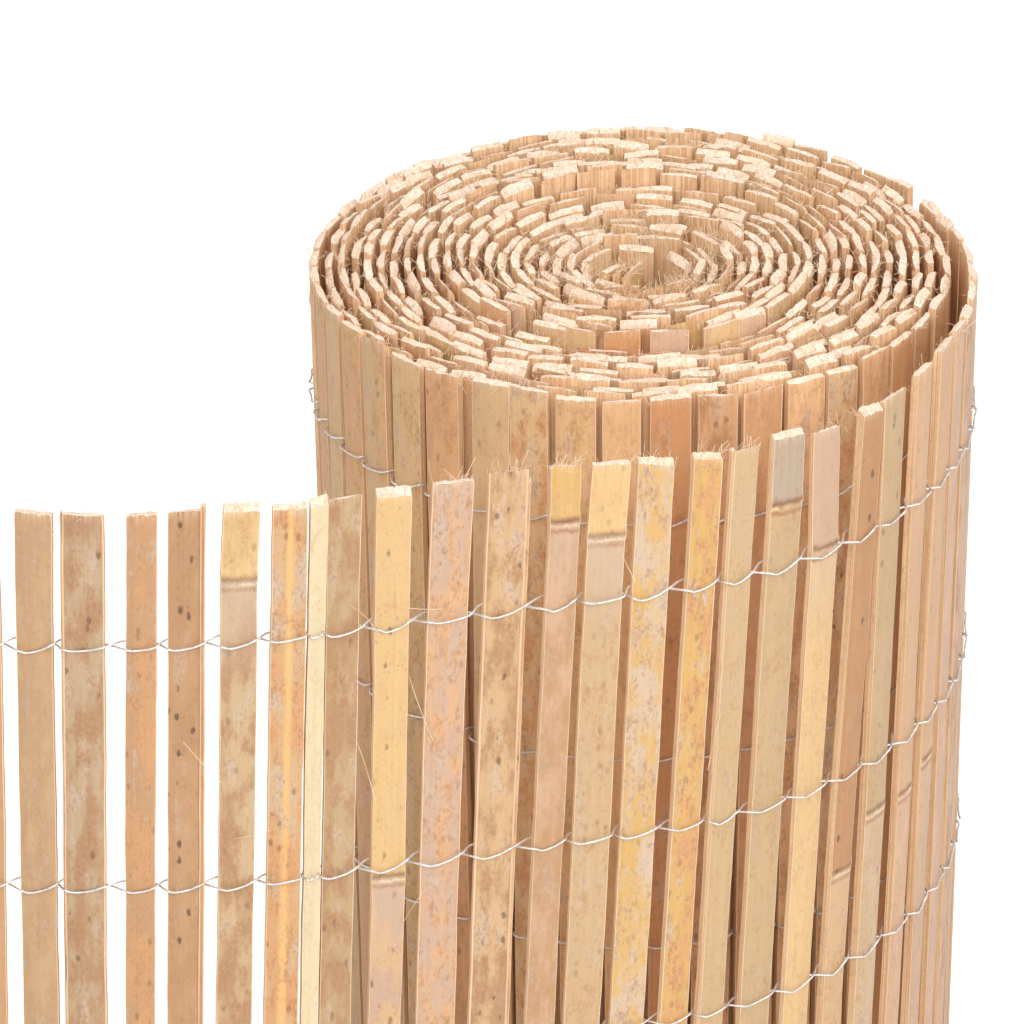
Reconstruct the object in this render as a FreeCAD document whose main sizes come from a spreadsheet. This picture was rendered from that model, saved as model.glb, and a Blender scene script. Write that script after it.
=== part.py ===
import FreeCAD, Part
import math
import os
import random

# A roll of bamboo border fence, stored on end: split slats held by three rows of two
# twisted wires, wound up, with the outer end of the mat led off along the front.
# Sizes in mm. The slats stand on Z = 0, the core of the roll is on the Z axis and the
# front looks to -Y.

os.makedirs("parts", exist_ok=True)

SIZES = (
    ("slat_length", 350),
    ("slat_width", 14),
    ("slat_thickness", 4.4),
    ("slat_pitch", 17.5),
    ("gap_width", 1.5),
    ("taper_width", 0.7),
    ("culm_radius", 30),
    ("cut_height", 8),
    ("foot_height", 4),
    ("slant_height", 2),
    ("wander_height", 5),
    ("wander_length", 460),
    ("roll_radius", 127.5),
    ("step_radius", 73),
    ("bore_radius", 17),
    ("turn_clearance", 0.55),
    ("slack_clearance", 0.2),
    ("drift_depth", 6.5),
    ("leave_angle", 22.6),
    ("bend_radius", 167),
    ("bend_angle", 99.7),
    ("middle_length", 127),
    ("easy_radius", 268),
    ("easy_angle", 16.1),
    ("end_length", 81),
    ("lean_angle", 2.9),
    ("lean_length", 190),
    ("wobble_angle", 0.1),
    ("wire_width", 0.8),
    ("wire_clearance", 0.1),
    ("wire_reach", 0.7),
    ("wire_rise", 1.2),
    ("wire_stub_length", 4),
    ("wire_delay_length", 45),
    ("row_top_height", 295),
    ("row_middle_height", 195),
    ("row_bottom_height", 110),
)

# The flap's slats from its free end, as the photograph shows them from the third on: the
# step from the slat before as a part of the pitch, the width as a part of the usual width,
# and the part of the cutting height that is missing from the top.
FLAP_SLATS = (
    (0.51, 0.90, 0.20),
    (1.04, 0.93, 0.30),
    (1.05, 0.92, 0.26),
    (1.06, 0.94, 0.22),
    (0.98, 1.06, 0.30),
    (1.15, 0.78, 0.31),
    (0.88, 0.84, 0.24),
    (1.10, 0.94, 0.22),
    (0.99, 0.90, 0.41),
    (0.58, 0.31, 0.29),
    (0.56, 0.86, 0.30),
    (1.07, 0.89, 0.31),
    (1.13, 1.06, 0.15),
    (1.13, 1.03, 0.00),
    (1.19, 0.79, 0.00),
    (0.94, 1.01, 0.14),
    (0.98, 0.96, 0.31),
    (1.08, 0.80, 0.44),
    (0.86, 0.70, 0.52),
    (1.05, 0.98, 0.30),
    (1.13, 0.93, 0.75),
    (1.07, 0.82, 0.66),
    (1.03, 0.93, 0.56),
    (1.09, 0.82, 0.26),
    (0.97, 0.86, 0.00),
    (1.03, 0.96, 0.00),
)
STEP_RANGE = (0.94, 1.04)
GAP_RANGE = (1.0, 1.7)
CUT_SHARE = 0.25
RIPPLE = 0.25
CORE_WIDTH = 0.85
SEED = 41

doc = FreeCAD.newDocument("bamboo_border_fence")
sheet = doc.addObject("Spreadsheet::Sheet", "sizes")
for row, (alias, value) in enumerate(SIZES, start=1):
    sheet.set("A%d" % row, alias)
    sheet.set("B%d" % row, str(value))
    sheet.setAlias("B%d" % row, alias)
doc.recompute()

UP = FreeCAD.Vector(0, 0, 1)


def size(alias):
    return float(sheet.get(alias))


def number(value):
    return "%.4f" % value


# The wound mat, seen from above, is followed from the outside in. The outer turns have
# room for wire between them. The core lies nearer the front than the outer turns do, so
# the turns are looser behind it than in front.
corner_reach = size("wire_width") * math.sqrt(2) / 2
wire_layer = 2 * (corner_reach + size("wire_clearance")) + size("slack_clearance")
slack_pitch = size("slat_thickness") + wire_layer
outer_centre = FreeCAD.Vector(0, size("drift_depth"), 0)
roll_radius = size("roll_radius")
leave = math.radians(size("leave_angle"))
unwired_turns = size("wire_delay_length") / (2 * math.pi * roll_radius)


def direction(angle):
    return FreeCAD.Vector(math.cos(angle), math.sin(angle), 0)


def wound_place(radius, angle):
    centre = outer_centre * min(1.0, radius / (roll_radius - slack_pitch))
    return centre + direction(angle) * radius, angle - math.pi / 2


def clearance(turns, angle):
    if turns < 2 - unwired_turns:
        return wire_layer
    loose_side = outer_centre.dot(direction(angle)) / roll_radius
    return size("turn_clearance") + slack_pitch * loose_side


def standing_out(radius, angle):
    # How far the mat's top edge stands over the usual, as a part of wander_height: outside
    # the step it is high behind and low in front, and inside it the other way round, and
    # it sinks towards the core.
    step_radius = size("step_radius")
    back = math.sin(angle)
    if radius > step_radius:
        inward = (roll_radius - radius) / (roll_radius - step_radius)
        return back * (0.4 + 0.5 * inward) - 0.4 + 0.3 * inward
    inward = 1 - radius / step_radius
    return (0.1 - 0.3 * back) * (1 - inward) - inward


def outline(point, heading, half_width):
    along = direction(heading)
    out = direction(heading + math.pi / 2)
    half = size("slat_thickness") / 2
    outer = half_width - size("taper_width")
    corners = ((-half_width, -half), (half_width, -half), (outer, half), (-outer, half))
    return [point + along * x + out * y for x, y in corners]


def edges(shape):
    return list(zip(shape, shape[1:] + shape[:1]))


def space_between(first, second):
    # The least distance between two outlines, or a negative number where they overlap.
    nearest = math.inf
    for shape, other in ((first, second), (second, first)):
        for corner in shape:
            inside = True
            for start, end in edges(other):
                run = end - start
                away = corner - start
                inside = inside and run.cross(away).z > 0
                part = max(0.0, min(1.0, away.dot(run) / run.dot(run)))
                nearest = min(nearest, (away - run * part).Length)
            if inside:
                return -1
    return nearest


def seated_radius(radius, angle, half_width, space, placed):
    # The slat is drawn in from the turn outside it until it is clear of that turn's slats.
    # From the slat before it in its own turn it has its gap already.
    reach = 2 * size("slat_width")
    beyond = radius + size("slat_thickness")
    within = radius - 3 * size("slat_thickness")
    point = wound_place(radius, angle)[0]
    near = [other for other in placed[:-1] if (other[0] - point).Length < reach]
    while beyond - within > 0.01:
        middle = (beyond + within) / 2
        shape = outline(*wound_place(middle, angle), half_width)
        if all(space_between(shape, other) > space for other in near):
            within = middle
        else:
            beyond = middle
    return within


# The flap runs on from the outer turn: a bend, a straight run, an easy bend and a straight end.
flap_runs = (
    (math.radians(size("bend_angle")) * size("bend_radius"), size("bend_radius")),
    (size("middle_length"), None),
    (math.radians(size("easy_angle")) * size("easy_radius"), size("easy_radius")),
    (size("end_length"), None),
)
flap_length = sum(length for length, radius in flap_runs)


def flap_place(along):
    point, heading = wound_place(roll_radius, leave)
    for length, radius in flap_runs:
        step = min(along, length)
        along -= step
        if radius is None:
            point += direction(heading) * step
            continue
        turn = step / radius
        middle = heading - turn / 2
        chord = 2 * radius * math.sin(turn / 2)
        point += direction(middle) * chord
        heading -= turn
    return point, heading


def wedge_slat(name, width, cut, foot, slant, raised):
    slat = doc.addObject("Part::Wedge", name)
    half = "sizes.slat_width * " + number(width / 2)
    thick = "sizes.slat_thickness / 2"
    lift = "sizes.wander_height * " + number(raised)
    low = "max(0; " + lift + ") + sizes.foot_height * " + number(foot)
    top = "sizes.slat_length + " + lift + " - sizes.cut_height * " + number(cut)
    for prop, expression in (
        ("Xmin", "-" + half),
        ("Xmax", half),
        ("Ymin", "-" + thick),
        ("Ymax", thick),
        ("Zmin", low),
        ("Zmax", top + " - sizes.slant_height * " + number(max(slant, 0))),
        ("X2min", "sizes.taper_width - " + half),
        ("X2max", half + " - sizes.taper_width"),
        ("Z2min", low),
        ("Z2max", top + " - sizes.slant_height * " + number(max(-slant, 0))),
    ):
        slat.setExpression(prop, expression)
    return slat


def crowned_slat(name, placement, blank):
    culm = doc.addObject("Part::Cylinder", name + "_culm")
    culm.setExpression("Radius", "sizes.culm_radius")
    culm.setExpression("Height", "sizes.slat_length")
    back = size("culm_radius") - size("slat_thickness") / 2
    culm.Placement = placement.multiply(
        FreeCAD.Placement(FreeCAD.Vector(0, -back, 0), FreeCAD.Rotation())
    )
    blank.Placement = placement
    slat = doc.addObject("Part::Common", name)
    slat.Base = blank
    slat.Tool = culm
    return slat


def standing(point, heading, lean, pivot_height, half_width):
    # A slat leans in its own plane about a height that stays over the mat's line.
    turn = FreeCAD.Rotation(UP, math.degrees(heading))
    turn = turn.multiply(FreeCAD.Rotation(FreeCAD.Vector(0, 1, 0), lean))
    pivot = turn.multVec(UP * pivot_height)
    lift = half_width * abs(math.sin(math.radians(lean)))
    return FreeCAD.Placement(FreeCAD.Vector(point.x - pivot.x, point.y - pivot.y, lift), turn)


def tube(points, side, across):
    # A square bar along a broken line, mitred at each bend.
    along = (points[1] - points[0]).normalize()
    up = along.cross(across).normalize()
    flat = up.cross(along).normalize()
    half = side / 2
    corners = ((1, 1), (-1, 1), (-1, -1), (1, -1))
    ring = [points[0] + flat * (a * half) + up * (b * half) for a, b in corners]
    faces = [Part.Face(Part.makePolygon(ring + ring[:1]))]
    for index in range(1, len(points)):
        along = (points[index] - points[index - 1]).normalize()
        mitre = along
        if index < len(points) - 1:
            onward = (points[index + 1] - points[index]).normalize()
            mitre = (along + onward).normalize()
        after = [p + along * ((points[index] - p).dot(mitre) / along.dot(mitre)) for p in ring]
        for corner in range(4):
            beside = (corner + 1) % 4
            border = [ring[corner], ring[beside], after[beside], after[corner], ring[corner]]
            faces.append(Part.Face(Part.makePolygon(border)))
        ring = after
    faces.append(Part.Face(Part.makePolygon(ring + ring[:1])))
    solid = Part.makeSolid(Part.makeShell(faces))
    if solid.Volume < 0:
        solid.reverse()
    return solid


chance = random.Random(SEED)
groups = {}
wired = []
placed = []
passed = 0.0
index = 0
radius = roll_radius
angle = leave
turns = 0.0
while radius > size("bore_radius"):
    if index < len(FLAP_SLATS):
        step, width, cut = FLAP_SLATS[index]
    else:
        step = chance.uniform(*STEP_RANGE)
        gap = size("gap_width") * chance.uniform(*GAP_RANGE)
        room = step * size("slat_pitch") * (1 - size("slat_thickness") / 2 / radius)
        width = (room - gap) / size("slat_width")
        cut = CUT_SHARE * chance.random()
    index += 1
    foot = max(0.0, chance.uniform(-0.6, 1.0))
    slant = chance.uniform(-1, 1)
    wobble = chance.uniform(-1, 1)
    half_width = size("slat_width") * width / 2
    before = passed
    passed += step * size("slat_pitch")
    name = "slat_%03d" % index
    left_on_flap = flap_length - passed
    if left_on_flap > 0:
        point, heading = flap_place(left_on_flap)
        lean = -size("lean_angle") * min(1.0, left_on_flap / size("lean_length"))
        placement = standing(point, heading, lean, size("slat_length"), half_width)
        blank = wedge_slat(name + "_blank", width, cut, foot, slant, 0)
        slat = crowned_slat(name, placement, blank)
        wired.append((placement, half_width))
        groups.setdefault("flap", []).append(slat)
        continue
    swing = (passed - max(before, flap_length)) / radius
    angle += swing
    turns += swing / (2 * math.pi)
    if turns < 1:
        radius -= slack_pitch * swing / (2 * math.pi)
    else:
        radius = seated_radius(radius, angle, half_width, clearance(turns, angle), placed)
    wander = standing_out(radius, angle)
    wander += RIPPLE * math.sin(2 * math.pi * passed / size("wander_length"))
    has_wire = turns < 1 - unwired_turns
    # The outer turn's last slats have no wire beside them, and lie against the turn inside.
    seat = 0 if has_wire or turns > 1 else wire_layer - size("turn_clearance")
    point, heading = wound_place(radius - seat, angle)
    placed.append(outline(point, heading, half_width))
    lean = size("wobble_angle") * wobble
    placement = standing(point, heading, lean, size("slat_length") / 2, half_width)
    slat = wedge_slat(name, width, cut, foot, slant, wander)
    slat.Placement = placement
    if has_wire:
        wired.append((placement, half_width))
    groups.setdefault("turn_%02d" % (int(turns) + 1), []).append(slat)

# The core starts with what is wound inside the last whole turn. The mat's inner end is
# folded up in the bore, against the innermost slat: three slats in a stack.
groups["core"] = groups.pop("turn_%02d" % (int(turns) + 1))
turn_gap = size("slat_thickness") + size("turn_clearance")
fold = size("slat_width") * CORE_WIDTH / 2
seat = turn_gap / 2
shift = point.Length - seat - fold
core_angle = math.degrees(math.atan2(point.y, point.x))
lie = FreeCAD.Rotation(UP, core_angle)
for side in (-1, 0, 1):
    slat = wedge_slat("core_slat_%d" % (side + 2), CORE_WIDTH, chance.random(), 0, 0.5, 0)
    slat.Placement = FreeCAD.Placement(lie.multVec(FreeCAD.Vector(shift, side * turn_gap, 0)), lie)
    groups["core"].append(slat)

parts = []
for group in sorted(groups):
    bundle = doc.addObject("Part::Compound", group)
    bundle.Links = groups[group]
    bundle.Label = group
    parts.append(bundle)

# Each row is two strands that change sides in every gap between slats. In front of a slat
# a strand starts low on the free end's side and rises, and behind a slat it comes down.
off_face = size("slat_thickness") / 2 + corner_reach + size("wire_clearance")
for row in ("row_top", "row_middle", "row_bottom"):
    strands = []
    for strand in (0, 1):
        points = []
        for index, (placement, half_width) in enumerate(wired):
            front = 1 if (index + strand) % 2 == 0 else -1
            reach = half_width + size("wire_reach")
            rise = size("wire_rise") / 2
            height = size(row + "_height")
            if index == 0:
                tip = FreeCAD.Vector(reach + size("wire_stub_length"), front * rise, height)
                points.append(placement.multVec(tip))
            for end in (1, -1):
                local = FreeCAD.Vector(end * reach, front * off_face, height - front * end * rise)
                points.append(placement.multVec(local))
        strands.append(tube(points, size("wire_width"), UP))
    wire = doc.addObject("Part::Feature", "wire_" + row)
    wire.Shape = Part.makeCompound(strands)
    wire.Label = "wire_" + row
    parts.append(wire)

doc.recompute()
for item in doc.Objects:
    if "Invalid" in item.State or "Error" in item.State:
        raise RuntimeError("not computed: " + item.Name)
for part in parts:
    if part.Shape.isNull() or not part.Shape.isValid():
        raise RuntimeError("bad shape: " + part.Label)
for part in parts:
    part.Shape.exportStep("parts/" + part.Label + ".step")
print("length of the mat, mm:", round(passed))
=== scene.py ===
import math
import random

import bpy
import numpy as np
from mathutils import Matrix, Vector

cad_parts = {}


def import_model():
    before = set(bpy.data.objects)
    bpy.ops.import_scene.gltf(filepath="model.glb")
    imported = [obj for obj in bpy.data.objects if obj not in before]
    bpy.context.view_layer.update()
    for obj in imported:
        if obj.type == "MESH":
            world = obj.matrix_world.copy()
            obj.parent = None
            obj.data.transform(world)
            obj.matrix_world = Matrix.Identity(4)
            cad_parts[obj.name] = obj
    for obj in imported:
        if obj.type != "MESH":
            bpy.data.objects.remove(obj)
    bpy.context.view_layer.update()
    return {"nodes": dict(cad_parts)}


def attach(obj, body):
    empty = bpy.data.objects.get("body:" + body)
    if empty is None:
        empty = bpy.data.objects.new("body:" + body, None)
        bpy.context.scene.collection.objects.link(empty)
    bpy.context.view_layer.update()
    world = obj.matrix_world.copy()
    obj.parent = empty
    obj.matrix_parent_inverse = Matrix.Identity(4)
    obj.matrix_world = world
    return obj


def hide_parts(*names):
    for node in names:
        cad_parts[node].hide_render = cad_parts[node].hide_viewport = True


# A roll of bamboo border fence standing on end, its outer end led off along the front.
# Metres, in the frame of the solid part.

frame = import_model()
chance = random.Random(17)

# The outer turn's slats that carry wire, and the wires' size and heights
WIRED_TURN_SLATS = 42
WIRE_RADIUS = 0.00042
WIRE_ROWS = {"wire_row_top": 0.295, "wire_row_middle": 0.195, "wire_row_bottom": 0.110}


def tint(red, green, blue):
    """A colour as it looks on a screen, from 0 to 255, as the linear light that a shader takes."""
    parts = [v / 255 for v in (red, green, blue)]
    return tuple(v / 12.92 if v <= 0.04045 else ((v + 0.055) / 1.055) ** 2.4 for v in parts)


# Bamboo skins, and the stains on them
TAN = tint(212, 178, 134)
SAND = tint(220, 186, 142)
GREY_TAN = tint(209, 178, 142)
BROWN_TAN = tint(204, 164, 124)
OLIVE_TAN = tint(206, 172, 120)
ORANGE_TAN = tint(216, 168, 124)
RUST = tint(208, 154, 108)
YELLOW = tint(243, 202, 144)
HONEY = tint(234, 192, 144)
GOLD = tint(240, 192, 118)
PEACH = tint(230, 186, 148)
PINK_TAN = tint(221, 184, 156)
CREAM = tint(246, 224, 182)
GREY = tint(207, 184, 160)
BROWN = tint(172, 130, 94)
DULL = tint(188, 158, 128)
GREYED = tint(202, 180, 160)
DIRT = tint(168, 120, 82)
SPECK = tint(96, 72, 56)
FLECK = tint(130, 94, 66)
STRIPE = tint(230, 182, 116)

# Knots
BLOOM = tint(200, 174, 150)
KNOT_LINE = tint(128, 86, 58)
SCAR = tint(156, 102, 70)

# Raw wood, split edges and cut ends
RAW_DARK = tint(214, 168, 126)
RAW_LIGHT = tint(240, 206, 164)
RAW_STREAK = tint(222, 180, 138)
RAW_DIRT = tint(176, 130, 90)
RIM = tint(228, 186, 148)
RIM_LINE = tint(150, 106, 72)
EDGE = tint(246, 222, 188)
CUT_PALE = tint(254, 240, 224)
CUT_DARK = tint(228, 192, 164)
CUT_PATCH = tint(238, 206, 176)
PORE = tint(210, 166, 130)
BROKEN = tint(240, 214, 182)

# Wire, fibres and floor
ZINC_DARK = tint(206, 202, 198)
ZINC_LIGHT = tint(236, 233, 230)
ZINC_DULL = tint(190, 186, 182)
FIBRE_DARK = tint(228, 190, 148)
FIBRE_LIGHT = tint(250, 230, 200)
FLOOR_DARK = tint(236, 236, 236)
FLOOR_LIGHT = tint(244, 244, 244)

# Skins and stains to draw from
SKINS = (TAN, TAN, SAND, BROWN_TAN, OLIVE_TAN, ORANGE_TAN, ORANGE_TAN, PEACH, PINK_TAN, RUST)
# The outer turn's skins: real bamboo tones, drawn more orange than the rest as painted bounced light for
# the shade behind the flap
OUTER_SKINS = (ORANGE_TAN, HONEY, RUST, ORANGE_TAN, SAND, TAN, RUST, HONEY)
STAINS = (BROWN, BROWN, RUST, DULL, OLIVE_TAN, RUST)

# The flap's slats from the free end: skin, skin above the knot, stain, how mottled, how
# spotted, how striped, height of the knot, grey bloom below it, and how far the top is
# turned at the knot.
FLAP_LOOKS = (
    (SAND, SAND, RUST, 0.3, 0.2, 0, None, 0, 0),
    (ORANGE_TAN, ORANGE_TAN, RUST, 0.4, 0.4, 0, None, 0, 0),
    (ORANGE_TAN, ORANGE_TAN, RUST, 0.4, 0.0, 0, None, 0, 0),
    (BROWN_TAN, BROWN_TAN, TAN, 0.4, 0.0, 0, None, 0, 0),
    (GREY_TAN, GREY_TAN, BROWN, 0.9, 0.7, 0, None, 0, 0),
    (ORANGE_TAN, ORANGE_TAN, RUST, 0.8, 0.5, 0, None, 0, 0),
    (ORANGE_TAN, ORANGE_TAN, BROWN, 0.5, 1.0, 0, None, 0, 0),
    (SAND, YELLOW, BROWN, 0.9, 0.4, 0, 0.318, 0.9, -0.03),
    (HONEY, HONEY, RUST, 1.2, 0.6, 1, None, 0, 0),
    (CREAM, CREAM, CREAM, 0.0, 0.0, 0, None, 0, 0),
    (TAN, TAN, BROWN, 0.9, 0.5, 0, None, 0, 0),
    (PINK_TAN, YELLOW, GOLD, 0.4, 0.7, 0, 0.187, 0.7, 0.01),
    (PINK_TAN, PINK_TAN, ORANGE_TAN, 1.0, 0.3, 0, None, 0, 0),
    (HONEY, HONEY, BROWN, 0.9, 0.8, 0, None, 0, 0),
    (ORANGE_TAN, GOLD, PINK_TAN, 0.5, 0.1, 0, 0.329, 0.5, 0.02),
    (SAND, YELLOW, BROWN_TAN, 0.5, 0.3, 0, 0.319, 1.0, -0.02),
    (GOLD, GOLD, GREY, 1.0, 0.3, 0, None, 0, 0),
    (GOLD, GOLD, RUST, 1.0, 0.4, 0, None, 0, 0),
    (SAND, SAND, OLIVE_TAN, 0.4, 0.1, 0, None, 0, 0),
    (SAND, GREY, OLIVE_TAN, 0.4, 0.2, 0, 0.321, 0.0, 0.02),
    (YELLOW, PINK_TAN, SAND, 0.3, 0.0, 0, 0.297, 0.7, 0.05),
    (HONEY, RUST, BROWN_TAN, 0.6, 0.9, 0, 0.151, 0.4, -0.01),
    (SAND, TAN, GREY, 0.6, 0.5, 0, 0.172, 0.3, 0.02),
    (PEACH, PEACH, PINK_TAN, 0.5, 0.2, 0, 0.168, 0.3, 0.01),
    (PINK_TAN, PEACH, SAND, 0.4, 0.2, 0, 0.174, 0.2, 0),
    (PINK_TAN, PINK_TAN, PEACH, 0.4, 0.1, 0, None, 0, 0),
)
# The flap's skins are multiplied by this, which paints shade on them and makes them darker than the roll's
FLAP_PAINTED_SHADE = 0.76
# A narrow slat of the flap, seen nearly edge on, is shown wider than its solid
WIDENED = {9: 1.45}
# Splinters that stand off a flap slat's edge: slat, side, half width and rise over the slat
SPLINTERS = (
    (6, -1, 0.0009, 0.0025),
    (13, -1, 0.0006, -0.004),
    (18, 1, 0.0007, 0.001),
    (4, 1, 0.0004, 0.0006),
)
# The flap's slats with a beard of fibres on their cut ends
SHAGGY = range(12, 19)
# Long hairs torn from the flap's slats: slat, place across it, height, and how far the tip
# and the bend lie to the free end's side and up
STRAYS = (
    (7, 0.9, 0.236, (0.004, 0.003), (0.010, 0.016)),
    (7, 0.2, 0.212, (-0.018, 0.002), (-0.004, 0.006)),
    (9, 0.9, 0.326, (0.002, 0.014), (-0.006, -0.002)),
    (10, -0.2, 0.306, (-0.014, -0.008), (0.003, -0.004)),
    (11, 0.7, 0.300, (-0.022, -0.006), (0.002, 0.004)),
    (11, -0.9, 0.165, (-0.006, 0.016), (-0.002, 0.001)),
    (11, -0.9, 0.270, (-0.005, -0.020), (-0.004, -0.006)),
    (10, -0.9, 0.250, (-0.006, -0.014), (-0.001, -0.010)),
    (16, 0.9, 0.300, (0.006, 0.012), (0.002, 0.004)),
    (18, 0.9, 0.240, (0.005, -0.018), (0.001, -0.004)),
)


class Wired:
    """A socket in a node tree, so that sums on it are written as Python expressions."""

    def __init__(self, tree, socket):
        self.tree = tree
        self.socket = socket
        self.vector = socket.type in ("VECTOR", "RGBA")

    def sum(self, operation, other, turned=False):
        wide = self.vector or isinstance(other, tuple) or (isinstance(other, Wired) and other.vector)
        pair = (other, self) if turned else (self, other)
        if not wide:
            return self.tree.node("ShaderNodeMath", {"operation": operation}, dict(enumerate(pair)))
        slim = [p for p in pair if not (isinstance(p, tuple) or (isinstance(p, Wired) and p.vector))]
        if operation == "MULTIPLY" and slim:
            broad = pair[1] if pair[0] is slim[0] else pair[0]
            inputs = {0: broad, "Scale": slim[0]}
            return self.tree.node("ShaderNodeVectorMath", {"operation": "SCALE"}, inputs)
        pair = [(p,) * 3 if isinstance(p, (int, float)) else p for p in pair]
        return self.tree.node("ShaderNodeVectorMath", {"operation": operation}, dict(enumerate(pair)))

    def __add__(self, other):
        return self.sum("ADD", other)

    def __radd__(self, other):
        return self.sum("ADD", other, True)

    def __sub__(self, other):
        return self.sum("SUBTRACT", other)

    def __rsub__(self, other):
        return self.sum("SUBTRACT", other, True)

    def __mul__(self, other):
        return self.sum("MULTIPLY", other)

    def __rmul__(self, other):
        return self.sum("MULTIPLY", other, True)

    def __truediv__(self, other):
        return self.sum("DIVIDE", other)

    def __pow__(self, other):
        return self.sum("POWER", other)

    def __abs__(self):
        return self.sum("ABSOLUTE", 0.0)

    def over(self, limit):
        return self.sum("GREATER_THAN", limit)

    def most(self, other):
        return self.sum("MAXIMUM", other)

    def ease(self, start, end):
        settings = {"interpolation_type": "SMOOTHSTEP"}
        inputs = {"Value": self, "From Min": start, "From Max": end}
        return self.tree.node("ShaderNodeMapRange", settings, inputs)

    def bell(self, width):
        power = (self / width) ** 2.0 * -1.0
        return self.tree.node("ShaderNodeMath", {"operation": "EXPONENT"}, {0: power})

    def split(self):
        parts = self.tree.raw("ShaderNodeSeparateXYZ", {}, {0: self})
        return [Wired(self.tree, out) for out in parts.outputs]


class Tree:
    """A node tree under the script's hand."""

    def __init__(self, tree):
        self.tree = tree

    def raw(self, kind, settings, inputs):
        made = self.tree.nodes.new(kind)
        for name, value in settings.items():
            setattr(made, name, value)
        for name, value in inputs.items():
            if isinstance(value, Wired):
                self.tree.links.new(value.socket, made.inputs[name])
            elif isinstance(value, tuple) and made.inputs[name].type == "RGBA":
                made.inputs[name].default_value = (*value, 1)
            else:
                made.inputs[name].default_value = value
        return made

    def node(self, kind, settings=None, inputs=None, output=0):
        return Wired(self, self.raw(kind, settings or {}, inputs or {}).outputs[output])

    def mix(self, part, first, second, blend="MIX"):
        settings = {"data_type": "RGBA", "blend_type": blend}
        return self.node("ShaderNodeMix", settings, {0: part, 6: first, 7: second}, 2)

    def noise(self, place, scale, detail=2.0, rough=0.5):
        inputs = {"Vector": place, "Scale": scale, "Detail": detail, "Roughness": rough}
        return self.node("ShaderNodeTexNoise", {}, inputs)

    def vector(self, x, y, z):
        return self.node("ShaderNodeCombineXYZ", {}, {0: x, 1: y, 2: z})


class Maker(Tree):
    """A Geometry Nodes tree with its sizes as named inputs."""

    def __init__(self, name, sizes):
        super().__init__(bpy.data.node_groups.new(name, "GeometryNodeTree"))
        face = self.tree.interface
        face.new_socket("Geometry", in_out="INPUT", socket_type="NodeSocketGeometry")
        face.new_socket("Geometry", in_out="OUTPUT", socket_type="NodeSocketGeometry")
        for label, value in sizes.items():
            kind = "NodeSocketInt" if isinstance(value, int) else "NodeSocketFloat"
            face.new_socket(label, in_out="INPUT", socket_type=kind).default_value = value
        face.new_socket("Material", in_out="INPUT", socket_type="NodeSocketMaterial")
        self.entry = self.tree.nodes.new("NodeGroupInput")
        self.exit = self.tree.nodes.new("NodeGroupOutput")

    def given(self, name):
        return Wired(self, self.entry.outputs[name])

    def named(self, name, kind="FLOAT_VECTOR"):
        return self.node("GeometryNodeInputNamedAttribute", {"data_type": kind}, {"Name": name})

    def kept(self, geometry, name, value, kind="FLOAT_VECTOR"):
        inputs = {"Geometry": geometry, "Name": name, "Value": value}
        return self.node("GeometryNodeStoreNamedAttribute", {"data_type": kind}, inputs)

    def finish(self, geometry):
        geometry = self.node("GeometryNodeRealizeInstances", {}, {"Geometry": geometry})
        inputs = {"Geometry": geometry, "Material": self.given("Material")}
        last = self.node("GeometryNodeSetMaterial", {}, inputs)
        self.tree.links.new(last.socket, self.exit.inputs[0])

    def make(self, name, mesh, material, **sizes):
        """Runs the tree on a mesh and gives the result as a plain mesh object."""
        carrier = bpy.data.objects.new(name + "_carrier", mesh)
        bpy.context.scene.collection.objects.link(carrier)
        modifier = carrier.modifiers.new("made", "NODES")
        modifier.node_group = self.tree
        for item in self.tree.interface.items_tree:
            if item.in_out == "INPUT" and item.name in sizes:
                modifier[item.identifier] = sizes[item.name]
            elif item.in_out == "INPUT" and item.name == "Material":
                modifier[item.identifier] = material
        seen = carrier.evaluated_get(bpy.context.evaluated_depsgraph_get())
        plain = bpy.data.meshes.new_from_object(seen)
        carrier.modifiers.clear()
        bpy.data.objects.remove(carrier)
        plain.name = name
        piece = bpy.data.objects.new(name, plain)
        bpy.context.scene.collection.objects.link(piece)
        return piece


# The slats as the solid part has them

# Two faces look the same way if their normals agree by more than this
SAME_WAY = 0.98
# A face is about as broad as the broadest if it has more than this share of it
AS_BROAD = 0.6


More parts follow.
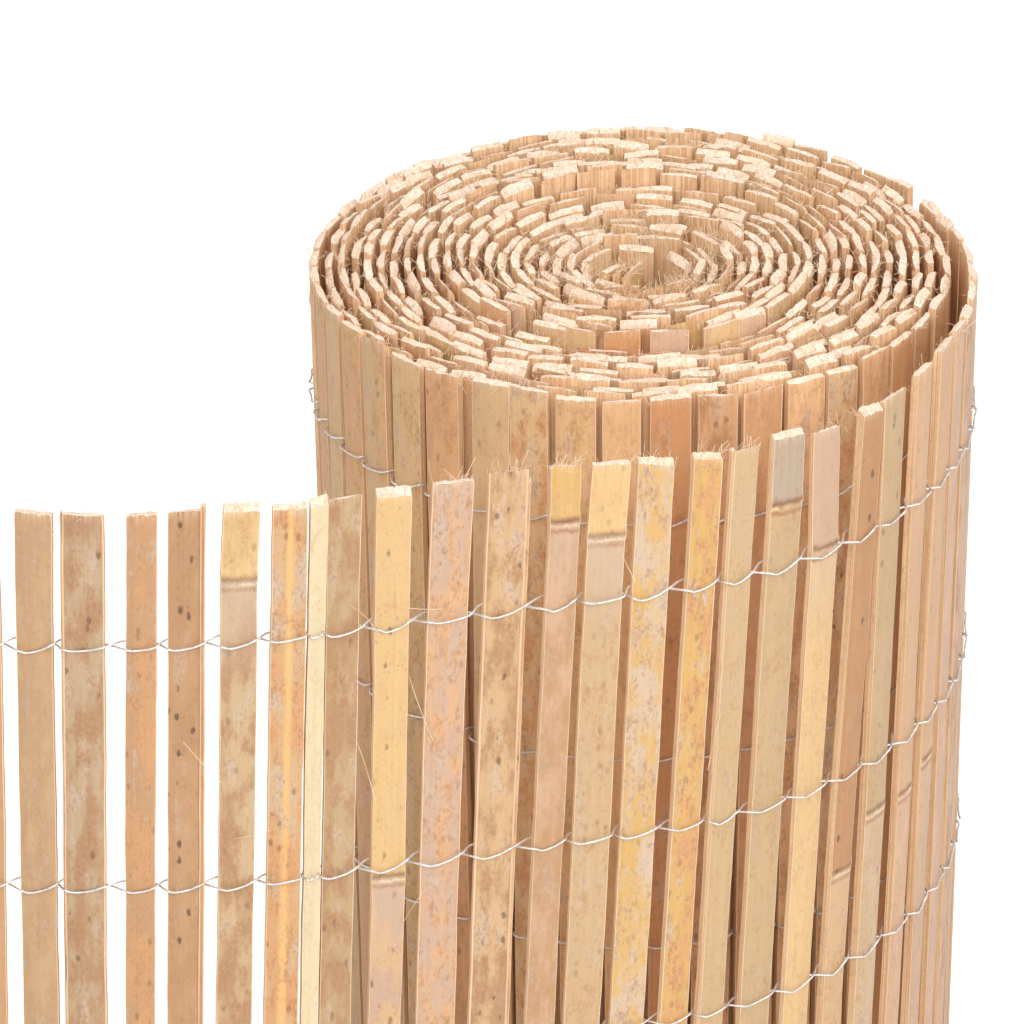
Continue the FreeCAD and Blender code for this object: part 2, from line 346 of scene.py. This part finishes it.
def slats_in(node):
    """Each slat of a solid node, in the mat's order: its foot's middle, directions and sizes."""
    mesh = frame["nodes"][node].data
    points = np.empty(len(mesh.vertices) * 3)
    mesh.vertices.foreach_get("co", points)
    mesh.calc_loop_triangles()
    corners = np.empty(len(mesh.loop_triangles) * 3, int)
    mesh.loop_triangles.foreach_get("vertices", corners)
    points, merged = np.unique(points.reshape(-1, 3).round(6), axis=0, return_inverse=True)
    faces = merged.reshape(-1)[corners].reshape(-1, 3)
    label = np.arange(len(points))
    while True:
        lowest = label.copy()
        np.minimum.at(lowest, faces, label[faces].min(1)[:, None])
        if (lowest == label).all():
            break
        label = lowest
    found = []
    for one in dict.fromkeys(label[faces[:, 0]]):
        own = faces[label[faces[:, 0]] == one]
        first, second, third = (points[own[:, k]] for k in range(3))
        areas = np.cross(second - first, third - first)
        sizes = np.linalg.norm(areas, axis=1)
        normals = areas / sizes[:, None]
        keys = [tuple(n) for n in normals.round(3)]
        total = {key: sizes[[k == key for k in keys]].sum() for key in set(keys)}
        broad = sorted(total, key=lambda key: (-total[key], key))
        # The side faces of a slat as thick as it is wide are as broad as its skin
        like = [key for key in broad[:4] if found and total[key] > AS_BROAD * total[broad[0]]]
        key = max(like, key=lambda k: -np.dot(k, found[-1]["front"])) if like else broad[0]
        back = normals[keys.index(key)]
        beside = next(normals[keys.index(k)] for k in broad if abs(np.dot(k, back)) < SAME_WAY)
        up = np.cross(back, beside)
        up *= math.copysign(1, up[2]) / np.linalg.norm(up)
        front = -back
        across = np.cross(front, up)
        own_points = points[np.unique(own)]
        local = own_points @ np.array([across, front, up]).T
        low, high = local.min(0), local.max(0)
        middle = (low + high) / 2
        foot = across * middle[0] + front * middle[1] + up * low[2]
        behind = local[local[:, 1] < middle[1]]
        ahead = local[local[:, 1] >= middle[1]]
        found.append({
            "foot": foot, "across": across, "front": front, "up": up,
            "half": (high - low) / 2 * (1, 1, 2),
            "slant": ahead[:, 2].max() - behind[:, 2].max(),
        })
    return found


def point_mesh(name, columns):
    """A mesh of loose points, one for each row of the columns, which become its attributes."""
    count = len(next(iter(columns.values())))
    mesh = bpy.data.meshes.new(name)
    mesh.from_pydata([(0, 0, 0)] * count, [], [])
    for label, values in columns.items():
        values = np.array(values, float)
        kind, key = ("FLOAT_VECTOR", "vector") if values.ndim == 2 else ("FLOAT", "value")
        mesh.attributes.new(label, kind, "POINT").data.foreach_set(key, values.ravel())
    return mesh


# Materials

def spots(t, place, share, size):
    """Round marks in some of the cells of a pattern."""
    cells = t.raw("ShaderNodeTexVoronoi", {}, {"Vector": place, "Scale": 1.0})
    lot = Wired(t, cells.outputs["Color"]).split()[0].ease(1.0 - share, 1.02 - share)
    return Wired(t, cells.outputs["Distance"]).ease(size, size * 0.45) * lot


def bamboo_material():
    material = bpy.data.materials.new("split_bamboo")
    material.use_nodes = True
    t = Tree(material.node_tree)
    shader = material.node_tree.nodes["Principled BSDF"]

    def attribute(name, output="Vector"):
        return t.node("ShaderNodeAttribute", {"attribute_name": name}, {}, output)

    across, depth, along = attribute("part").split()
    grain = attribute("grain")
    mottled, spotted, striped = attribute("wear").split()
    above, bloom, rim = attribute("knot_place").split()
    mottled = mottled * (1.0 - (above.over(0.0) - above.over(0.5)) * 0.7)
    lines = t.noise(grain * (1500.0, 1500.0, 7.0), 1.0, 2.0, 0.6)
    streak = t.noise(grain * (420.0, 420.0, 6.0), 1.0, 3.0, 0.55)
    cloud = t.noise(grain * (240.0, 240.0, 100.0), 1.0, 4.0, 0.6)
    patch = t.noise(grain * (120.0, 120.0, 46.0), 1.0, 3.0, 0.6)
    fine = t.noise(grain * (900.0, 900.0, 520.0), 1.0, 3.0, 0.65)

    # Skin: streaked, stained in patches, greyed, dirty and speckled
    skin = t.mix((above + fine * 0.0012).ease(-0.0002, 0.0010), attribute("skin"), attribute("upper"))
    skin = skin * (0.91 + streak * 0.18)
    blot = (patch * 0.75 + cloud * 0.25).ease(0.43, 0.60) * (0.45 + fine * 0.9)
    skin = t.mix(blot * mottled, skin, attribute("stain"))
    grey = patch.ease(0.48, 0.36) * cloud.ease(0.40, 0.60) * mottled
    skin = t.mix(grey * 0.75, skin, GREYED)
    dirt = (cloud * 0.45 + fine * 0.55).ease(0.47, 0.66)
    skin = t.mix(dirt * (0.20 + mottled * 0.46), skin, DIRT)
    speck = spots(t, grain * (230.0, 230.0, 120.0) + (fine - 0.5) * 0.4, 0.42, 0.27) * spotted
    fleck = spots(t, grain * (620.0, 620.0, 420.0), 0.30, 0.36) * cloud.ease(0.40, 0.60)
    skin = t.mix(speck * 0.85, skin, SPECK)
    skin = t.mix(fleck * (0.10 + spotted * 0.30), skin, FLECK)
    stripe = (abs(across + 0.02) + streak * 0.5 + cloud * 0.2).ease(0.72, 0.32) * striped
    skin = t.mix(stripe * (0.90 - dirt * 0.6), skin, STRIPE)

    # The knot, with a scar under it and a bloom below
    hazy = above.ease(-0.050, -0.004) * (1.0 - above.over(0.0)) * bloom
    skin = t.mix(hazy * (0.20 + cloud * 1.0), skin, BLOOM)
    wavy = above + fine * 0.0024 + cloud * 0.0030 - 0.0027
    skin = t.mix(wavy.bell(0.0012) * (0.2 + patch * 1.0), skin, KNOT_LINE)
    skin = t.mix((wavy + 0.0044).bell(0.0009) * (patch * 1.3 - 0.15), skin, SCAR)
    skin = t.mix((wavy + 0.0024).bell(0.0005) * cloud.ease(0.6, 0.45) * 0.5, skin, CREAM)

    # Raw wood, which the split edges, the sides and the back show
    raw = t.mix(lines.ease(0.36, 0.62), RAW_DARK, RAW_LIGHT)
    raw = t.mix(streak.ease(0.42, 0.64) * 0.5, raw, RAW_STREAK)
    raw = t.mix(dirt * 0.35, raw, RAW_DIRT)
    out = abs(across + (streak - 0.5) * 0.10) - rim
    skin = t.mix(out.ease(-0.01, 0.03) * 0.8, skin, t.mix(0.5, raw, RIM))
    skin = t.mix(out.bell(0.018) * 0.3, skin, RIM_LINE)
    skin = t.mix(abs(across).ease(0.93, 0.99) * 0.55, skin, EDGE)

    # The cut ends, pale, with the ends of the fibres, and the broken skin at their edge
    pores = spots(t, grain * (1700.0, 1700.0, 300.0), 0.7, 0.45)
    crushed = t.noise(grain * (700.0, 700.0, 700.0), 1.0, 4.0, 0.7)
    cut = t.mix(crushed.ease(0.42, 0.66), CUT_PALE, CUT_DARK)
    cut = t.mix(pores * 0.4, cut, PORE)
    cut = t.mix(patch.ease(0.42, 0.65) * 0.5, cut, CUT_PATCH)
    # The cut ends take some of the skin's colour, and with it the flap's painted shade
    cut = t.mix(0.22, cut, attribute("skin"))
    face = depth.over(0.998)
    end = (abs(along - 0.5)).over(0.49999)
    colour = t.mix(face, raw, skin)
    below = (1.0 - along) * 0.35
    tip = below.ease(0.0045, 0.0) * (lines + fine * 0.4).ease(0.60, 0.80)
    colour = t.mix(tip * 0.3, colour, BROKEN)
    colour = t.mix(end, colour, cut)
    colour = colour * (0.94 + lines * 0.14)
    t.tree.links.new(colour.socket, shader.inputs["Base Color"])
    rough = 0.80 - face * 0.24 + fine * 0.12
    t.tree.links.new(rough.socket, shader.inputs["Roughness"])
    height = lines * (1.0 - face * 0.5) + fine * 0.5 + cloud * 0.5 + crushed * end * 1.2
    bump = t.node("ShaderNodeBump", {}, {"Height": height, "Strength": 0.6, "Distance": 0.0004})
    t.tree.links.new(bump.socket, shader.inputs["Normal"])
    shader.inputs["Specular IOR Level"].default_value = 0.35
    return material


def wire_material():
    material = bpy.data.materials.new("galvanised_wire")
    material.use_nodes = True
    t = Tree(material.node_tree)
    shader = material.node_tree.nodes["Principled BSDF"]
    place = t.node("ShaderNodeTexCoord", {}, {}, "Object")
    spangle = t.noise(place, 900.0, 3.0, 0.6)
    dull = t.noise(place, 140.0, 2.0, 0.5)
    colour = t.mix(spangle.ease(0.35, 0.7), ZINC_DARK, ZINC_LIGHT)
    colour = t.mix(dull.ease(0.55, 0.8) * 0.4, colour, ZINC_DULL)
    t.tree.links.new(colour.socket, shader.inputs["Base Color"])
    t.tree.links.new((0.36 + dull * 0.22).socket, shader.inputs["Roughness"])
    bump = t.node("ShaderNodeBump", {}, {"Height": spangle, "Strength": 0.2, "Distance": 0.00005})
    t.tree.links.new(bump.socket, shader.inputs["Normal"])
    shader.inputs["Metallic"].default_value = 0.85
    return material


def fibre_material():
    material = bpy.data.materials.new("loose_fibre")
    material.use_nodes = True
    t = Tree(material.node_tree)
    shader = material.node_tree.nodes["Principled BSDF"]
    place = t.node("ShaderNodeTexCoord", {}, {}, "Object")
    shade = t.noise(place, 60.0, 3.0, 0.6)
    colour = t.mix(shade.ease(0.3, 0.7), FIBRE_DARK, FIBRE_LIGHT)
    t.tree.links.new(colour.socket, shader.inputs["Base Color"])
    t.tree.links.new((0.6 + shade * 0.2).socket, shader.inputs["Roughness"])
    return material


BAMBOO = bamboo_material()
WIRE = wire_material()
FIBRE = fibre_material()


# Slats

def slat_tree():
    """Each point of the mesh becomes a split slat: crowned, bowed, knotted and roughly cut."""
    t = Maker("split_slats", {
        "Columns": 5, "Layers": 3, "Rows": 12, "Ends": 1.0, "Culm Radius": 0.03, "Knot Rise": 0.0006,
        "Knot Length": 0.0017, "Edge Wander": 0.0006, "Bow": 0.0008, "Rough Cut": 0.0011,
        "Rounding": 0.0006, "Cut Reach": 0.004,
    })
    blank = t.node("GeometryNodeMeshCube", {}, {
        "Size": (2.0, 2.0, 1.0), "Vertices X": t.given("Columns"),
        "Vertices Y": t.given("Layers"), "Vertices Z": t.given("Rows"),
    })
    place = t.node("GeometryNodeInputPosition")
    blank = t.kept(blank, "part", place + (0.0, 0.0, 0.5))
    spread = t.node("GeometryNodeInstanceOnPoints", {}, {"Points": t.given("Geometry"), "Instance": blank})
    real = t.node("GeometryNodeRealizeInstances", {}, {"Geometry": spread})

    across, depth, along = t.named("part").split()
    along = 1.0 - (1.0 - along) ** t.given("Ends")
    half_width, half_thick, length = t.named("half").split()
    whim = t.named("whim")
    one, two, three = whim.split()
    slant, skew, ragged = t.named("cut").split()
    knot = t.named("knot", "FLOAT")
    kink = t.named("kink", "FLOAT")
    z = along * length
    above = z - knot
    ahead = depth.most(0.0)
    ridge = above.bell(t.given("Knot Length"))
    side = across.over(0.0)
    edge = t.noise(t.vector(side * 7.0 + one, z, two), 22.0, 3.0, 0.6) - 0.5
    bow = t.noise(t.vector(three, z, one), 5.0, 0.0) - 0.5
    dip = t.noise(t.vector(two, z, three), 5.0, 0.0) - 0.5
    x = across * (half_width + abs(across) * edge * t.given("Edge Wander") * 2.0)
    x = x * (1.0 + ridge * 0.04)
    x = x + kink * above.most(0.0) * knot.over(0.0) + bow * t.given("Bow") * 2.0
    sag = half_width * half_width / (t.given("Culm Radius") * 2.0)
    y = depth * half_thick - ahead * across * across * sag
    y = y + ahead * ridge * t.given("Knot Rise") + dip * t.given("Bow")
    near_top = ((1.0 - along) * length).bell(t.given("Cut Reach"))
    near_foot = (along * length).bell(t.given("Cut Reach"))
    rim_top = ((1.0 - along) * length).bell(t.given("Rounding"))
    rough = t.noise(t.vector(across * 1.3 + one, depth * 0.45 + two, three), 3.0, 3.0, 0.75) - 0.5
    z = z + near_top * (slant * depth * 0.5 + skew * across)
    z = z + rim_top * rough * ragged * t.given("Rough Cut") * 2.4
    z = z - rim_top * t.given("Rounding") * (across ** 8.0 * 0.4 + depth * depth * 0.5)
    z = z + near_foot * (abs(rough) * ragged * t.given("Rough Cut"))
    crush = t.noise(t.vector(across * 1.1 + three, one, two), 3.0, 1.0) - 0.5
    y = y * (1.0 - rim_top * 0.10) + near_top * crush * half_thick * 0.6
    x = x * (1.0 - rim_top * 0.012)
    up = t.named("up")
    lateral = t.named("across")
    front = up.sum("CROSS_PRODUCT", lateral)
    spot = t.named("foot") + lateral * x + front * y + up * z
    real = t.node("GeometryNodeSetPosition", {}, {"Geometry": real, "Position": spot})
    grain = t.vector(across * half_width, depth * half_thick, along * length) + whim
    real = t.kept(real, "grain", grain)
    real = t.kept(real, "knot_place", t.vector(above, t.named("bloom", "FLOAT"), t.named("rim", "FLOAT")))
    real = t.kept(real, "part", t.vector(across, depth, along))
    angle = t.node("GeometryNodeInputMeshEdgeAngle")
    smooth = {"Geometry": real, "Shade Smooth": True}
    real = t.node("GeometryNodeSetShadeSmooth", {"domain": "FACE"}, smooth)
    sharp = {"Geometry": real, "Selection": angle.over(0.6), "Shade Smooth": False}
    real = t.node("GeometryNodeSetShadeSmooth", {"domain": "EDGE"}, sharp)
    t.finish(real)
    return t


SLATS = slat_tree()
# The height of a knot that a slat doesn't have, and the share of slats with one
NO_KNOT = -1.0
KNOT_SHARE = 0.35
OUTER_KNOT_SHARE = 0.18
SPLINTER_RIM = 0.5

# How each kind of slat is divided, how closely its rows lie to its top, and its bow
FLAP_SIZES = {"Columns": 10, "Layers": 4, "Rows": 100, "Ends": 1.5, "Bow": 0.0007}
OUTER_SIZES = {"Columns": 8, "Layers": 4, "Rows": 60, "Ends": 1.8, "Bow": 0.0004}
INNER_SIZES = {"Columns": 6, "Layers": 3, "Rows": 4, "Ends": 5.0, "Bow": 0.0003}
# The least and the most of its solid's thickness that a slat has
FLAP_THICK = (0.62, 0.95)
OUTER_THICK = (0.70, 0.92)
INNER_THICK = (0.64, 0.90)
SEEN_WIDTH = 0.99

# The least and the most that is drawn for a slat: how mottled it is, the height of its knot,
# how far its top is turned there, how light it is, how far its skin reaches to its edges,
# its place in the patterns, and how skewed, slanted and ragged its cut ends are
MOTTLED = (0.15, 1.0)
KNOT_HEIGHT = (0.02, 0.34)
KNOT_TURN = (-0.02, 0.02)
SHADE = (0.94, 1.04)
SKIN_REACH = (0.89, 1.05)
WHIM = (1, 9)
CUT_SKEW = (-0.0009, 0.0009)
CUT_SLANT = (-0.0012, 0.0012)
CUT_RAGGED = (0.5, 1.4)
# How far a splinter's middle is off its slat's edge, as a share of its own half width, and
# how thick it is, as a share of the slat's thickness
SPLINTER_OFF = 0.6
SPLINTER_THICK = 0.8


def looks(count, chosen, skins, knots):
    """The columns that give each slat its looks."""
    rows = []
    for index in range(count):
        if index < len(chosen):
            skin, upper, stain, mottled, spotted, striped, knot, bloom, kink = chosen[index]
        else:
            skin = chance.choice(skins)
            upper, stain, knot, bloom, kink = skin, chance.choice(STAINS), None, 0, 0
            mottled = chance.uniform(*MOTTLED)
            spotted = chance.random() ** 2
            striped = 0
            if chance.random() < knots:
                knot = chance.uniform(*KNOT_HEIGHT)
                upper = chance.choice(skins)
                bloom = chance.random()
                kink = chance.uniform(*KNOT_TURN)
        # Each slat's own lightness, and on the flap the painted shade as well
        shade = chance.uniform(*SHADE) * (FLAP_PAINTED_SHADE if chosen else 1.0)
        rows.append({
            "skin": [v * shade for v in skin],
            "upper": [v * shade for v in upper],
            "stain": stain,
            "wear": (mottled, spotted, striped),
            "knot": NO_KNOT if knot is None else knot,
            "bloom": bloom,
            "rim": chance.uniform(*SKIN_REACH),
            "kink": kink,
            "whim": [chance.uniform(*WHIM) for _ in range(3)],
        })
    return rows


def splinter(slat, side, half_width, rise):
    """A thin strip on a slat's edge."""
    shift = slat["across"] * side * (slat["half"][0] + half_width * SPLINTER_OFF)
    half = np.array([half_width, slat["half"][1] * SPLINTER_THICK, slat["half"][2] + rise])
    return {**slat, "foot": slat["foot"] + shift, "half": half, "slant": 0}


def slat_piece(node, sizes, thick, chosen=(), skins=SKINS, knots=KNOT_SHARE):
    """The slats of one node, finished, as one piece. Gives the solid slats back."""
    slats = slats_in(node)
    whole = list(slats)
    own = looks(len(slats), chosen, skins, knots)
    if chosen:
        slats += [splinter(slats[index], *rest) for index, *rest in SPLINTERS]
        own += [{**own[index], "knot": NO_KNOT, "rim": SPLINTER_RIM} for index, *rest in SPLINTERS]
    for index, (slat, look) in enumerate(zip(slats, own)):
        look["foot"] = slat["foot"]
        look["across"] = slat["across"]
        look["up"] = slat["up"]
        look["half"] = slat["half"] * (SEEN_WIDTH, chance.uniform(*thick), 1.0)
        if chosen:
            look["half"][0] *= WIDENED.get(index, 1.0)
        skew = chance.uniform(*CUT_SKEW)
        slant = slat["slant"] + chance.uniform(*CUT_SLANT)
        look["cut"] = (slant, skew, chance.uniform(*CUT_RAGGED))
    mesh = point_mesh(node + "_points", {key: [look[key] for look in own] for key in own[0]})
    piece = SLATS.make("slats_" + node, mesh, BAMBOO, **sizes)
    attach(piece, "root")
    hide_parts(node)
    return whole


flap = slat_piece("flap", FLAP_SIZES, FLAP_THICK, FLAP_LOOKS)
turns = sorted(name for name in frame["nodes"] if name.startswith("turn_"))
outer = slat_piece(turns[0], OUTER_SIZES, OUTER_THICK, (), OUTER_SKINS, OUTER_KNOT_SHARE)
inner = []
for turn in turns[1:] + ["core"]:
    inner += slat_piece(turn, INNER_SIZES, INNER_THICK)


# Wires

def wire_tree():
    """The mesh's runs of edges become smooth round wire."""
    t = Maker("round_wire", {"Wire Radius": WIRE_RADIUS, "Sides": 8, "Steps": 6})
    runs = t.node("GeometryNodeMeshToCurve", {}, {"Mesh": t.given("Geometry")})
    runs = t.node("GeometryNodeCurveSplineType", {"spline_type": "CATMULL_ROM"}, {"Curve": runs})
    inputs = {"Geometry": runs, "Resolution": t.given("Steps")}
    runs = t.node("GeometryNodeSetSplineResolution", {}, inputs)
    ring = {"Resolution": t.given("Sides"), "Radius": t.given("Wire Radius")}
    ring = t.node("GeometryNodeCurvePrimitiveCircle", {"mode": "RADIUS"}, ring)
    inputs = {"Curve": runs, "Profile Curve": ring, "Fill Caps": True}
    tube = t.node("GeometryNodeCurveToMesh", {}, inputs)
    t.finish(tube)
    return t


def run_mesh(name, runs):
    """A mesh of open runs of edges through the points."""
    points, edges = [], []
    for run in runs:
        start = len(points)
        points += [tuple(p) for p in run]
        edges += [(start + k, start + k + 1) for k in range(len(run) - 1)]
    mesh = bpy.data.meshes.new(name)
    mesh.from_pydata(points, edges, [])
    return mesh


ROUND_WIRE = wire_tree()
# How far a strand sags on a slat's face, and the half width under which it sags less
SAG = (0.0008, 0.0022)
FULL_SAG_WIDTH = 0.005
# A strand's way over a slat's skin and behind its back: shares of the half width and the sag
OVER_SKIN = ((0.98, -0.5), (0.45, -1.0), (-0.3, -0.3), (-0.98, 1.0))
BEHIND_BACK = ((0.9, 0.7), (-0.9, -0.3))
wired = flap + outer[:WIRED_TURN_SLATS]
for row, height in WIRE_ROWS.items():
    strands = []
    sags = [chance.uniform(*SAG) for _ in wired]
    for strand in (0, 1):
        run = []
        for index, slat in enumerate(wired):
            face = 1 if (index + strand) % 2 == 0 else -1
            half_width, half_thick, length = slat["half"]
            off = (half_thick + WIRE_RADIUS) * face
            tall = (height - slat["foot"][2]) / slat["up"][2]
            sag = sags[index] * min(1.0, half_width / FULL_SAG_WIDTH)
            for x, lift in OVER_SKIN if face > 0 else BEHIND_BACK:
                spot = slat["foot"] + slat["across"] * x * half_width + slat["front"] * off
                run.append(spot + slat["up"] * (tall + sag * lift))
        strands.append(run)
    piece = ROUND_WIRE.make(row + "_strands", run_mesh(row + "_runs", strands), WIRE)
    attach(piece, "root")
    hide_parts(row)


# Loose fibres

def fibre_tree():
    """Each point becomes a fine curled fibre that grows from its root along its aim."""
    t = Maker("fibres", {"Fibre Radius": 0.00011, "Steps": 7})
    line = {"Start": (0.0, 0.0, 0.0), "End": (0.0, 0.0, 1.0)}
    line = t.node("GeometryNodeCurvePrimitiveLine", {}, line)
    line = t.node("GeometryNodeResampleCurve", {}, {"Curve": line, "Count": t.given("Steps")})
    place = t.node("GeometryNodeInputPosition")
    line = t.kept(line, "part", place)
    spread = t.node("GeometryNodeInstanceOnPoints", {}, {"Points": t.given("Geometry"), "Instance": line})
    real = t.node("GeometryNodeRealizeInstances", {}, {"Geometry": spread})
    share = t.named("part").split()[2]
    spot = t.named("root") + t.named("aim") * share + t.named("curl") * share * share
    real = t.node("GeometryNodeSetPosition", {}, {"Geometry": real, "Position": spot})
    ring = {"Resolution": 3, "Radius": t.given("Fibre Radius")}
    ring = t.node("GeometryNodeCurvePrimitiveCircle", {"mode": "RADIUS"}, ring)
    inputs = {"Curve": real, "Profile Curve": ring, "Fill Caps": True}
    real = t.node("GeometryNodeCurveToMesh", {}, inputs)
    t.finish(real)
    return t


def scatter():
    """A random direction, longer or shorter by chance."""
    return np.array([chance.gauss(0, 1) for _ in range(3)])


FIBRES = fibre_tree()


def fibre_piece(name, rows, radius, steps):
    mesh = point_mesh(name + "_points", {
        "root": [row[0] for row in rows],
        "aim": [row[1] for row in rows],
        "curl": [row[2] for row in rows],
    })
    piece = FIBRES.make(name, mesh, FIBRE, **{"Fibre Radius": radius, "Steps": steps})
    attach(piece, "root")


def from_slat(slat, x, y, z):
    """A point of a slat: shares of its half width and half thickness, and a height."""
    half_width, half_thick, length = slat["half"]
    side = slat["across"] * half_width * x
    return slat["foot"] + side + slat["front"] * half_thick * y + slat["up"] * z


# Least and most fibres on a cut end, and the share of slats that have a longer hair
FUZZ = ((flap, 4, 12, 0.18), (outer, 6, 12, 0.18), (inner, 8, 16, 0.10))
BEARD = 2.6
CORE_SLATS = 60
CORE_BEARD = 2.2
FUZZ_LENGTH = (0.0010, 0.0034)
FUZZ_DEPTH = (0.0004, 0.0016)
HAIR_LENGTH = (0.005, 0.012)
HAIR_DEPTH = (0.0, 0.012)
STRAY_LIFT = 0.0015
FUZZ_RADIUS = 0.00012
HAIR_RADIUS = 0.00016

# Fuzz round the cut ends, thickest on the slats over the roll's front and in the core
fuzz, hairs = [], []
for slats, least, most, hairy in FUZZ:
    for index, slat in enumerate(slats):
        shaggy = BEARD if slats is flap and index in SHAGGY else 1.0
        if slats is inner and index > len(inner) - CORE_SLATS:
            shaggy = CORE_BEARD
        for _ in range(int(chance.randint(least, most) * shaggy)):
            x, y = chance.uniform(-1, 1), chance.choice((-0.7, 0.7, chance.uniform(-0.7, 0.7)))
            root = from_slat(slat, x, y, slat["half"][2] - chance.uniform(*FUZZ_DEPTH))
            long = chance.uniform(*FUZZ_LENGTH) * (1 + 0.5 * (shaggy > 1))
            aim = slat["up"] * chance.uniform(0.4, 1) + scatter() * 0.45 + slat["front"] * y * 0.3
            aim = aim / np.linalg.norm(aim) * long
            fuzz.append((root, aim, scatter() * long * 0.4))
        if chance.random() < hairy:
            x = chance.choice((-1, 1))
            root = from_slat(slat, x, 0.3, slat["half"][2] - chance.uniform(*HAIR_DEPTH))
            long = chance.uniform(*HAIR_LENGTH)
            aim = slat["up"] * 0.5 + scatter() * 0.5 + slat["across"] * x * 0.6
            aim = aim / np.linalg.norm(aim) * long
            hairs.append((root, aim, scatter() * long * 0.5))

for index, x, height, aim, curl in STRAYS:
    slat = flap[index]
    root = from_slat(slat, x, 0.95, height)
    front = slat["front"] * STRAY_LIFT
    hairs.append((
        root, slat["across"] * aim[0] + slat["up"] * aim[1] + front,
        slat["across"] * curl[0] + slat["up"] * curl[1] + front,
    ))
fibre_piece("fuzz", fuzz, FUZZ_RADIUS, 3)
fibre_piece("hairs", hairs, HAIR_RADIUS, 8)


# Floor, lights and camera

FLOOR_REACH = 8.0
FLOOR_GLOW = 0.52
SKY = (0.57, 0.57, 0.575)
# Lamps: place, aim, size and power
LAMPS = {
    "key": ((-0.3, -2.2, 2.2), (0, 0, 0.25), 1.8, 45.0),
    "fill": ((1.6, -1.3, 1.3), (0, 0, 0.25), 1.6, 17.0),
    "top": ((0.1, 0.5, 2.2), (0, 0, 0.3), 1.2, 13.5),
}
CAMERA_PLACE = (-0.0485, -1.5643, 1.0501)
CAMERA_DIP = 0.4784
CAMERA_ROLL = -0.0138
CAMERA_LENS = 154.7


def floor():
    mesh = bpy.data.meshes.new("floor")
    corners = [(x * FLOOR_REACH, y * FLOOR_REACH, 0) for x, y in ((-1, -1), (1, -1), (1, 1), (-1, 1))]
    mesh.from_pydata(corners, [], [(0, 1, 2, 3)])
    floor = bpy.data.objects.new("floor", mesh)
    bpy.context.scene.collection.objects.link(floor)
    material = bpy.data.materials.new("pale_floor")
    material.use_nodes = True
    t = Tree(material.node_tree)
    shader = material.node_tree.nodes["Principled BSDF"]
    rays = t.raw("ShaderNodeLightPath", {}, {})
    rays_seen = ("Is Camera Ray", "Is Glossy Ray", "Is Transmission Ray")
    seen = [Wired(t, rays.outputs[name]) for name in rays_seen]
    shown = seen[0].most(seen[1]).most(seen[2])
    place = t.node("ShaderNodeTexCoord", {}, {}, "Object")
    grain = t.noise(place, 30.0, 3.0)
    colour = t.mix(grain, FLOOR_DARK, FLOOR_LIGHT)
    t.tree.links.new(colour.socket, shader.inputs["Base Color"])
    shader.inputs["Roughness"].default_value = 0.9
    glow = t.mix(shown, (0.0, 0.0, 0.0), (FLOOR_GLOW,) * 3)
    t.tree.links.new(glow.socket, shader.inputs["Emission Color"])
    shader.inputs["Emission Strength"].default_value = 1.0
    mesh.materials.append(material)


def lamp(name, place, aim, size, power):
    data = bpy.data.lights.new(name, "AREA")
    data.shape = "SQUARE"
    data.size = size
    data.energy = power
    made = bpy.data.objects.new(name, data)
    made.location = place
    made.rotation_euler = (Vector(aim) - Vector(place)).to_track_quat("-Z", "Y").to_euler()
    bpy.context.scene.collection.objects.link(made)


def world():
    made = bpy.data.worlds.new("studio")
    made.use_nodes = True
    t = Tree(made.node_tree)
    back = made.node_tree.nodes["Background"]
    rays = t.raw("ShaderNodeLightPath", {}, {})
    shown = Wired(t, rays.outputs["Is Camera Ray"])
    t.tree.links.new(t.mix(shown, SKY, (1.0, 1.0, 1.0)).socket, back.inputs["Color"])
    bpy.context.scene.world = made


def camera():
    data = bpy.data.cameras.new("camera")
    data.sensor_width = 36.0
    data.lens = CAMERA_LENS
    data.clip_end = 100.0
    made = bpy.data.objects.new("camera", data)
    dip = Matrix.Rotation(math.pi / 2 - CAMERA_DIP, 4, "X")
    turn = dip @ Matrix.Rotation(CAMERA_ROLL, 4, "Z")
    made.matrix_world = Matrix.Translation(CAMERA_PLACE) @ turn
    bpy.context.scene.collection.objects.link(made)
    bpy.context.scene.camera = made


floor()
for name, rest in LAMPS.items():
    lamp(name, *rest)
world()
camera()
bpy.context.scene.view_settings.view_transform = "Standard"
